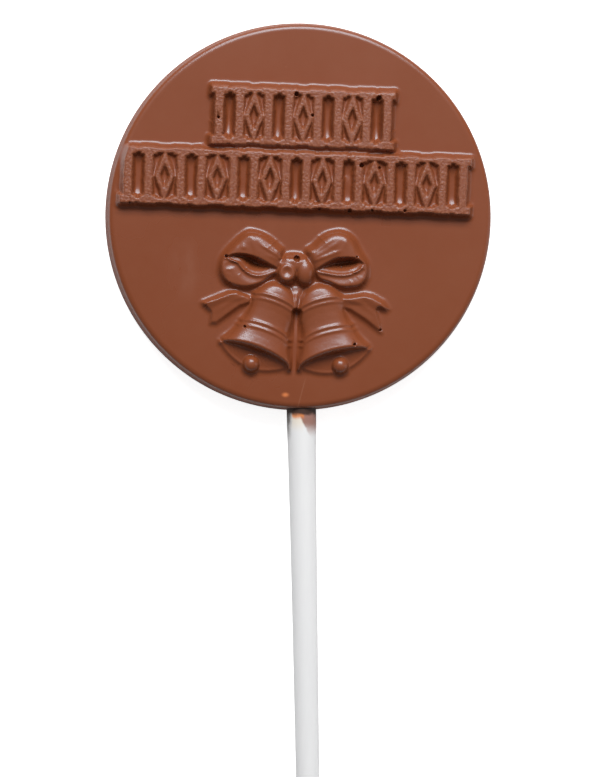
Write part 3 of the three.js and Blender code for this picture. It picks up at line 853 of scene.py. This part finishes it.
# %% Bubbles
BUBBLES = (
    (-12.25, -7.0, 0.3), (-0.5, -7.0, 0.55), (9.5, -6.4, 0.17), (7.1, -8.2, 0.12),
    (-8.8, -18.6, 0.24), (9.65, -21.0, 0.28), (14.0, -18.5, 0.24), (-14.35, 16.0, 0.26),
    (1.3, 16.9, 0.28), (12.3, 20.2, 0.42), (-1.5, 20.3, 0.4), (9.8, 8.9, 0.42), (12.8, 8.6, 0.26),
    (3.0, 1.4, 0.24), (8.1, 1.3, 0.3), (11.8, 1.5, 0.22), (17.3, 1.6, 0.28), (-28.6, 1.35, 0.18),
)
bubble_mesh = bpy.data.meshes.new("bubbles")
bubble_mesh.from_pydata([(x * MM, y * MM, 0) for x, y, _ in BUBBLES], [], [])
measure(bubble_mesh, "size", [r * MM for _, _, r in BUBBLES])
bubbles = shown("bubbles", bubble_mesh)
print(len(BUBBLES), "bubbles")

# %% [markdown]
# ## Pouring the chocolate
# One tree turns the blank into the moulded disc. For each point it measures how far away the
# nearest frieze stroke is and lets a drawn curve slope the wall down over that distance. A wide
# blur tells how much of the surroundings is high, and raises the floor of narrow gaps by that much.
# The carving is added, a slight blur gives every corner the small round of poured chocolate, the
# bubbles are sunk, and the surface is lifted.

# %% Pour tree
ROW_SLOPE = 2.6
ROW_FOOT = 0.9
ROW_RUN = RELIEF / ROW_SLOPE + ROW_FOOT * math.tan(math.atan(ROW_SLOPE) / 2)


def pour_tree():
    inputs = [("Geometry", "Geometry"), ("Upper Row", "Object"), ("Lower Row", "Object")]
    inputs += [("Bubbles", "Object"), ("Rounding", "Int", 5), ("Spread", "Int", 300)]
    lengths = ("Relief", "Wall Run", "Wobble", "Wobble Scale", "Fill", "Fill Level", "Bubble Depth")
    inputs += [(length, "Float") for length in lengths] + [("Material", "Material")]
    tree, given, result = new_tree("pour", "GeometryNodeTree", inputs, ("Geometry", "Geometry"))

    def shape_of(name):
        return add(tree, "GeometryNodeObjectInfo", {"Object": given[name]}).outputs["Geometry"]

    def stored(name):
        made = add(tree, "GeometryNodeInputNamedAttribute", {"Name": name}, data_type="FLOAT")
        return made.outputs[0]

    def blurred(value, times):
        inputs = {"Value": value, "Iterations": times}
        return add(tree, "GeometryNodeBlurAttribute", inputs, data_type="FLOAT").outputs[0]

    def distance(shape, spot, kind):
        inputs = {"Geometry": shape, "Sample Position": spot}
        return add(tree, "GeometryNodeProximity", inputs, target_element=kind).outputs["Distance"]

    flatten = (1.0, 1.0, 0.0)
    spot = add(tree, "GeometryNodeInputPosition").outputs[0]
    noise = {"Vector": spot, "Scale": given["Wobble Scale"], "Detail": 2.0}
    cloud = add(tree, "ShaderNodeTexNoise", noise).outputs["Color"]
    centred = vector(tree, "SUBTRACT", cloud, (0.5, 0.5, 0.5))
    shift = vector(tree, "SCALE", centred, scale=given["Wobble"])
    both = add(tree, "GeometryNodeJoinGeometry")
    for row_name in ("Upper Row", "Lower Row"):
        tree.links.new(shape_of(row_name), both.inputs[0])
    wobbled = vector(tree, "MULTIPLY", vector(tree, "ADD", spot, shift), flatten)
    away = distance(both.outputs[0], wobbled, "FACES")
    share = maths(tree, "DIVIDE", away, given["Wall Run"], clamp=True)
    wall = add(tree, "ShaderNodeFloatCurve", {"Value": share})
    slope = wall.mapping.curves[0].points
    slope[0].location, slope[1].location = (0.0, 1.0), (1.0, 0.0)
    for at in np.linspace(0.1, 0.95, 14):
        slope.new(at, float(footed(RELIEF - ROW_SLOPE * ROW_RUN * at, ROW_SLOPE, ROW_FOOT)) / RELIEF)
    wall.mapping.update()
    strokes = product(tree, wall.outputs[0], given["Relief"])
    # The chocolate bridges narrow gaps: where much of the surroundings is high, the floor is raised
    around = less(tree, blurred(strokes, given["Spread"]), given["Fill Level"])
    raised_floor = product(tree, maths(tree, "MAXIMUM", around, 0.0), given["Fill"])
    strokes = maths(tree, "MAXIMUM", strokes, raised_floor)
    kept = stored("kept")
    height = product(tree, plus(tree, strokes, stored("carved")), kept)
    # A bubble is a bowl, deeper than half a ball so that it looks dark
    holes = shape_of("Bubbles")
    level = vector(tree, "MULTIPLY", spot, flatten)
    at_level = {"Geometry": holes, "Sample Position": level}
    nearest = add(tree, "GeometryNodeSampleNearest", at_level, domain="POINT").outputs[0]
    sample = {"Geometry": holes, "Value": stored("size"), "Index": nearest}
    size = add(tree, "GeometryNodeSampleIndex", sample, data_type="FLOAT", domain="POINT").outputs[0]
    reach = distance(holes, level, "POINTS")
    chord = less(tree, product(tree, size, size), product(tree, reach, reach))
    bowl = maths(tree, "SQRT", maths(tree, "MAXIMUM", chord, 0.0))
    bowl = product(tree, bowl, given["Bubble Depth"], kept)
    up = less(tree, blurred(height, given["Rounding"]), bowl)
    lift = add(tree, "ShaderNodeCombineXYZ", {"Z": up}).outputs[0]
    moved = {"Geometry": given["Geometry"], "Offset": lift}
    raised = add(tree, "GeometryNodeSetPosition", moved).outputs[0]
    smooth = add(tree, "GeometryNodeSetShadeSmooth", {"Geometry": raised}).outputs[0]
    return finished(tree, smooth, given["Material"], result)


POUR = pour_tree()
print("pour tree has", len(POUR.nodes), "nodes")

# %% [markdown]
# ## Pour, then thin out
# The blur counts are steps of one cell, so they belong to the number of cells: a blur that is to
# look the same on cells twice as wide takes a quarter of the steps. The even cells make the poured
# disc far heavier than its flat parts need, so it is thinned out where nothing bends.

# %% Pour and thin out
POURING = {
    "Upper Row": rows[0],
    "Lower Row": rows[1],
    "Bubbles": bubbles,
    "Relief": RELIEF * MM,
    "Wall Run": ROW_RUN * MM,
    "Wobble": 0.3 * MM,
    "Wobble Scale": 600.0,
    "Rounding": 5,
    "Spread": 300,
    "Fill": 1.15,
    "Fill Level": 0.6 * MM,
    "Bubble Depth": 3.0,
    "Material": chocolate_finish,
}
TRIANGLES = 186000
run_tree(disc, POUR, POURING)
baked(disc)
count = sum(len(p.vertices) - 2 for p in disc.data.polygons)
thin = disc.modifiers.new("thin", "DECIMATE")
thin.ratio = min(1.0, TRIANGLES / count)
thin.use_collapse_triangulate = True
baked(disc)
for pattern in (*rows, bubbles):
    bpy.data.objects.remove(pattern)
print("disc:", count, "triangles poured,", len(disc.data.polygons), "kept")

# %% [markdown]
# ## The stick
# A lollipop stick is rolled paper: a plain rod that narrows a little to its free end. It is turned
# from a profile of radii, like on a lathe, along an axis three degrees off the disc's own.

# %% Stick
def stick_radius(down):
    span = 1 - math.exp(-(STICK_END - STICK_MOUTH) / STICK_TAPER)
    share = (1 - math.exp(-max(0.0, down - STICK_MOUTH) / STICK_TAPER)) / span
    return STICK_MOUTH_RADIUS + (STICK_END_RADIUS - STICK_MOUTH_RADIUS) * share


SIDES, LENGTHS, END_STEPS = 96, 80, 5
stations = [(STICK_MOUTH_RADIUS * 0.8, STICK_TOP), (STICK_MOUTH_RADIUS, STICK_TOP + 0.3)]
for k in range(LENGTHS + 1):
    down = STICK_MOUTH - 3 + (STICK_END - STICK_ROUND - STICK_MOUTH + 3) * k / LENGTHS
    stations.append((stick_radius(down), down))
for k in range(1, END_STEPS + 1):
    a = k / END_STEPS * math.pi / 2
    inward, short = STICK_ROUND * (1 - math.cos(a)), STICK_ROUND * (1 - math.sin(a))
    stations.append((STICK_END_RADIUS - inward, STICK_END - short))
stick_points, stick_faces = [], []
for radius, down in stations:
    for k in range(SIDES):
        a = 2 * math.pi * k / SIDES
        stick_points.append((radius * math.cos(a), -down, radius * math.sin(a)))
for i in range(len(stations) - 1):
    for k in range(SIDES):
        a, b = i * SIDES + k, i * SIDES + (k + 1) % SIDES
        stick_faces.append((a, b, b + SIDES, a + SIDES))
stick_faces.append(tuple(range(SIDES))[::-1])
stick_faces.append(tuple(range(len(stick_points) - SIDES, len(stick_points))))
stick_mesh = bpy.data.meshes.new("paper_stick")
stick_mesh.from_pydata(stick_points, [], stick_faces)
place = Matrix.Translation(Vector((STICK_OFFSET, 0, STICK_LEVEL)) * MM)
stick_mesh.transform(place @ Matrix.Rotation(STICK_SKEW, 4, "Z") @ Matrix.Scale(MM, 4))
stick_mesh.shade_smooth()
stick = shown("paper_stick", stick_mesh)
print("stick:", len(stick_faces), "faces")

# %% [markdown]
# ## Finishes
# Chocolate is dark, a little glossy and never quite even. Patterns that more than one finish uses
# are shader node groups. Each reads the piece's own coordinates, so that it stays on the piece.

# %% Shared pattern groups
def mottle_group():
    inputs = [("Vector", "Vector"), ("Scale", "Float", 100.0), ("Contrast", "Float", 1.0)]
    inputs += [("Streak", "Vector", (1, 1, 1))]
    tree, given, result = new_tree("mottle", "ShaderNodeTree", inputs, ("Mask", "Float"))
    stretched = vector(tree, "MULTIPLY", given["Vector"], given["Streak"])
    noise = {"Vector": stretched, "Scale": given["Scale"], "Detail": 4.0, "Roughness": 0.55}
    cloud = add(tree, "ShaderNodeTexNoise", noise).outputs["Fac"]
    centred = product(tree, less(tree, cloud, 0.5), given["Contrast"])
    tree.links.new(maths(tree, "ADD", centred, 0.5, clamp=True), result[0])
    return tree


def spot_group():
    inputs = [("Vector", "Vector"), ("Centre", "Vector"), ("Squash", "Vector", (1, 1, 1))]
    inputs += [("Inner", "Float"), ("Outer", "Float")]
    tree, given, result = new_tree("spot", "ShaderNodeTree", inputs, ("Mask", "Float"))
    away = vector(tree, "SUBTRACT", given["Vector"], given["Centre"])
    away = vector(tree, "MULTIPLY", away, given["Squash"])
    far = add(tree, "ShaderNodeVectorMath", {0: away}, operation="LENGTH").outputs["Value"]
    tree.links.new(ramp(tree, far, given["Outer"], given["Inner"], "SMOOTHSTEP"), result[0])
    return tree


MOTTLE, SPOT = mottle_group(), spot_group()


def masked(tree, group, **inputs):
    return add(tree, "ShaderNodeGroup", named(inputs), node_tree=group).outputs[0]


def blend(tree, factor, base, over):
    inputs = {0: factor, 6: base, 7: over}
    return add(tree, "ShaderNodeMix", inputs, data_type="RGBA").outputs[2]


print("groups:", MOTTLE.name, "and", SPOT.name)

# %% [markdown]
# ## Milk chocolate
# Two browns lie close together in soft clouds. Over them come the marks that the photograph shows,
# each a mask and a colour: a cloudy smear, an orange spot, a scratch and pale specks. The frieze
# has stippled tops, made by a grain in both the colour and the bump.

# %% Milk chocolate
MARK_LEVEL = 6.5
SMEAR_AT = (-19.3, -9.5)
EMBER_AT = (-1.55, -29.9)
SCRATCH_LEAN, SCRATCH_AT = 0.23, 7.95


def paint_chocolate(material):
    material.use_nodes = True
    tree = material.node_tree
    shader = tree.nodes["Principled BSDF"]
    spot = add(tree, "ShaderNodeTexCoord").outputs["Object"]
    x, y, z = add(tree, "ShaderNodeSeparateXYZ", {0: spot}).outputs

    def clouds(scale, contrast, streak=(1, 1, 1)):
        return masked(tree, MOTTLE, vector=spot, scale=scale, contrast=contrast, streak=streak)

    def mark(place, squash, inner, outer):
        centre = [v * MM for v in (*place, MARK_LEVEL)]
        inner, outer = inner * MM, outer * MM
        return masked(tree, SPOT, vector=spot, centre=centre, squash=squash, inner=inner, outer=outer)

    wide, fine = clouds(45.0, 1.6), clouds(420.0, 1.4)
    colour = blend(tree, wide, (0.214, 0.0508, 0.0152, 1), (0.237, 0.0616, 0.021, 1))
    smear = mark(SMEAR_AT, (1.5, 0.75, 0.2), 0.5, 5.0)
    smear = product(tree, smear, clouds(260.0, 3.0, (1, 0.5, 1)), 0.35)
    colour = blend(tree, smear, colour, (0.33, 0.14, 0.085, 1))
    colour = blend(tree, mark(EMBER_AT, (0.8, 1.2, 0.5), 0.0, 0.7), colour, (0.75, 0.22, 0.07, 1))
    off_line = plus(tree, x, product(tree, y, -SCRATCH_LEAN))
    off_line = maths(tree, "ABSOLUTE", less(tree, off_line, SCRATCH_AT * MM))
    scratch = ramp(tree, off_line, 0.14 * MM, 0.03 * MM)
    scratch = product(tree, scratch, ramp(tree, y, -26.5 * MM, -28.0 * MM), 0.35)
    colour = blend(tree, scratch, colour, (0.36, 0.15, 0.085, 1))
    # Specks: one dot for each Voronoi cell, and a random number keeps few of them
    specks = add(tree, "ShaderNodeTexVoronoi", {"Vector": spot, "Scale": 300.0, "Randomness": 1.0})
    dot = ramp(tree, specks.outputs["Distance"], 0.07, 0.03)
    chance = add(tree, "ShaderNodeSeparateXYZ", {0: specks.outputs["Color"]}).outputs["X"]
    dot = product(tree, dot, maths(tree, "GREATER_THAN", chance, 0.93), 0.5)
    colour = blend(tree, dot, colour, (0.5, 0.24, 0.13, 1))
    colour = blend(tree, product(tree, fine, 0.2), colour, (0.25, 0.085, 0.040, 1))
    # Stippled tops of the frieze: the mould was left rough there
    high = ramp(tree, z, 7.3 * MM, 8.1 * MM, "SMOOTHSTEP")
    stippled = product(tree, high, ramp(tree, y, -1.5 * MM, -0.5 * MM))
    noise = {"Vector": spot, "Scale": 2400.0, "Detail": 2.0, "Roughness": 0.6}
    grain = add(tree, "ShaderNodeTexNoise", noise).outputs["Fac"]
    lit = product(tree, ramp(tree, grain, 0.42, 0.66), stippled, 0.6)
    colour = blend(tree, lit, colour, (0.36, 0.13, 0.065, 1))
    tree.links.new(colour, shader.inputs["Base Color"])
    # The wall of the disc is rubbed dull
    rubbed = ramp(tree, z, 6.1 * MM, 5.6 * MM)
    duller = ((wide, 0.09), (smear, 0.3), (stippled, 0.1), (rubbed, 0.4))
    rough = plus(tree, 0.24, *(product(tree, mask, more) for mask, more in duller))
    tree.links.new(rough, shader.inputs["Roughness"])
    # Everything raised is a little dented, which breaks the highlights up
    raised = ramp(tree, z, 6.7 * MM, 7.4 * MM)
    dents = product(tree, clouds(900.0, 1.0), raised, 0.35)
    relief = plus(tree, product(tree, grain, stippled, 1.4), product(tree, fine, 0.05), dents)
    bump = {"Strength": 1.0, "Distance": 0.1 * MM, "Height": relief}
    tree.links.new(add(tree, "ShaderNodeBump", bump).outputs[0], shader.inputs["Normal"])
    shader.inputs["IOR"].default_value = 1.55
    shader.inputs["Specular Tint"].default_value = (0.68, 0.88, 1.0, 1)


paint_chocolate(chocolate_finish)
print("milk chocolate has", len(chocolate_finish.node_tree.nodes), "nodes")

# %% [markdown]
# ## White paper
# The paper has fine fibres along the stick. Where it leaves the disc, melted chocolate is smeared
# on it, more of it on the right side. Its left side there is darkened with painted shade, and a
# painted shadow lies in a thin band right under the disc's edge. Each smear and each painted
# shade is a product of soft bands whose edges waver.

# %% White paper
paper_finish = bpy.data.materials.new("white_paper")


def paint_paper(material):
    material.use_nodes = True
    tree = material.node_tree
    shader = tree.nodes["Principled BSDF"]
    spot = add(tree, "ShaderNodeTexCoord").outputs["Object"]
    x, y, _ = add(tree, "ShaderNodeSeparateXYZ", {0: spot}).outputs
    fibre = masked(tree, MOTTLE, vector=spot, scale=900.0, contrast=1.5, streak=(1, 0.15, 1))
    colour = blend(tree, fibre, (0.82, 0.82, 0.825, 1), (0.86, 0.86, 0.86, 1))
    ragged = masked(tree, MOTTLE, vector=spot, scale=700.0, contrast=2.0)
    waver = product(tree, less(tree, ragged, 0.5), 0.5 * MM)

    def band(value, low, high):
        return ramp(tree, plus(tree, value, waver), low * MM, high * MM, "SMOOTHSTEP")

    slanted = plus(tree, y, product(tree, x, 1.8))
    right_side = product(tree, band(slanted, -32.0, -31.2), band(y, -37.3, -34.3))
    # Painted shade: the stick's left side is darkened below the disc, where the disc's shade falls on
    # it
    left_painted_shade = product(tree, band(x, -0.05, -0.9), band(y, -38.4, -34.4))
    middle = product(tree, band(x, 2.0, 1.5), band(x, -0.6, 0.0))
    cream = product(tree, band(y, -36.5, -34.0), middle)
    melt = product(tree, band(y, -34.2, -33.4), middle)
    smears_and_painted_shade = (
        (cream, 0.8, (0.85, 0.75, 0.62, 1)),
        (right_side, 0.9, (0.27, 0.09, 0.05, 1)),
        (melt, 0.9, (0.7, 0.22, 0.06, 1)),
        (left_painted_shade, 0.9, (0.09, 0.065, 0.055, 1)),
        # Painted shadow: a dark band on the stick right under the disc's edge
        (band(y, -33.5, -32.9), 1.0, (0.05, 0.02, 0.012, 1)),
    )
    for mask, strength, tone in smears_and_painted_shade:
        colour = blend(tree, product(tree, mask, strength), colour, tone)
    tree.links.new(colour, shader.inputs["Base Color"])
    shader.inputs["Roughness"].default_value = 0.62
    bump = {"Strength": 0.3, "Distance": 0.03 * MM, "Height": fibre}
    tree.links.new(add(tree, "ShaderNodeBump", bump).outputs[0], shader.inputs["Normal"])


paint_paper(paper_finish)
stick_mesh.materials.append(paper_finish)
print("white paper has", len(paper_finish.node_tree.nodes), "nodes")

# %% [markdown]
# ## Floor
# A plain pale sheet lies under the lollipop.

# %% Floor
FLOOR_HALF = 1.6
GLOW, CAMERA_GLOW = 0.1, 0.72
floor_mesh = bpy.data.meshes.new("floor")
corners = [(x * FLOOR_HALF, y * FLOOR_HALF, 0) for x, y in ((-1, -1), (1, -1), (1, 1), (-1, 1))]
floor_mesh.from_pydata(corners, [], [(0, 1, 2, 3)])
floor = shown("floor", floor_mesh)
floor_finish = bpy.data.materials.new("pale_sheet")
floor_finish.use_nodes = True
sheet = floor_finish.node_tree
paper = sheet.nodes["Principled BSDF"]
coordinates = add(sheet, "ShaderNodeTexCoord").outputs["Object"]
haze = masked(sheet, MOTTLE, vector=coordinates, scale=6.0, contrast=0.5)
tone = blend(sheet, haze, (0.93, 0.93, 0.93, 1), (0.96, 0.96, 0.955, 1))
sheet.links.new(tone, paper.inputs["Base Color"])
paper.inputs["Roughness"].default_value = 0.9
paper.inputs["Emission Color"].default_value = (1.0, 1.0, 1.0, 1)
# The sheet is lit from below like a light table, nearly all of it for the camera alone
seen = add(sheet, "ShaderNodeLightPath").outputs["Is Camera Ray"]
glow = plus(sheet, GLOW, product(sheet, seen, CAMERA_GLOW))
sheet.links.new(glow, paper.inputs["Emission Strength"])
floor_mesh.materials.append(floor_finish)
print("floor", 2 * FLOOR_HALF, "m wide")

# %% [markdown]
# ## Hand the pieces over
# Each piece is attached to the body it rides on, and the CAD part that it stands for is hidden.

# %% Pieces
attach(disc, "root")
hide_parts("chocolate")
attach(stick, "root")
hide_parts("stick")
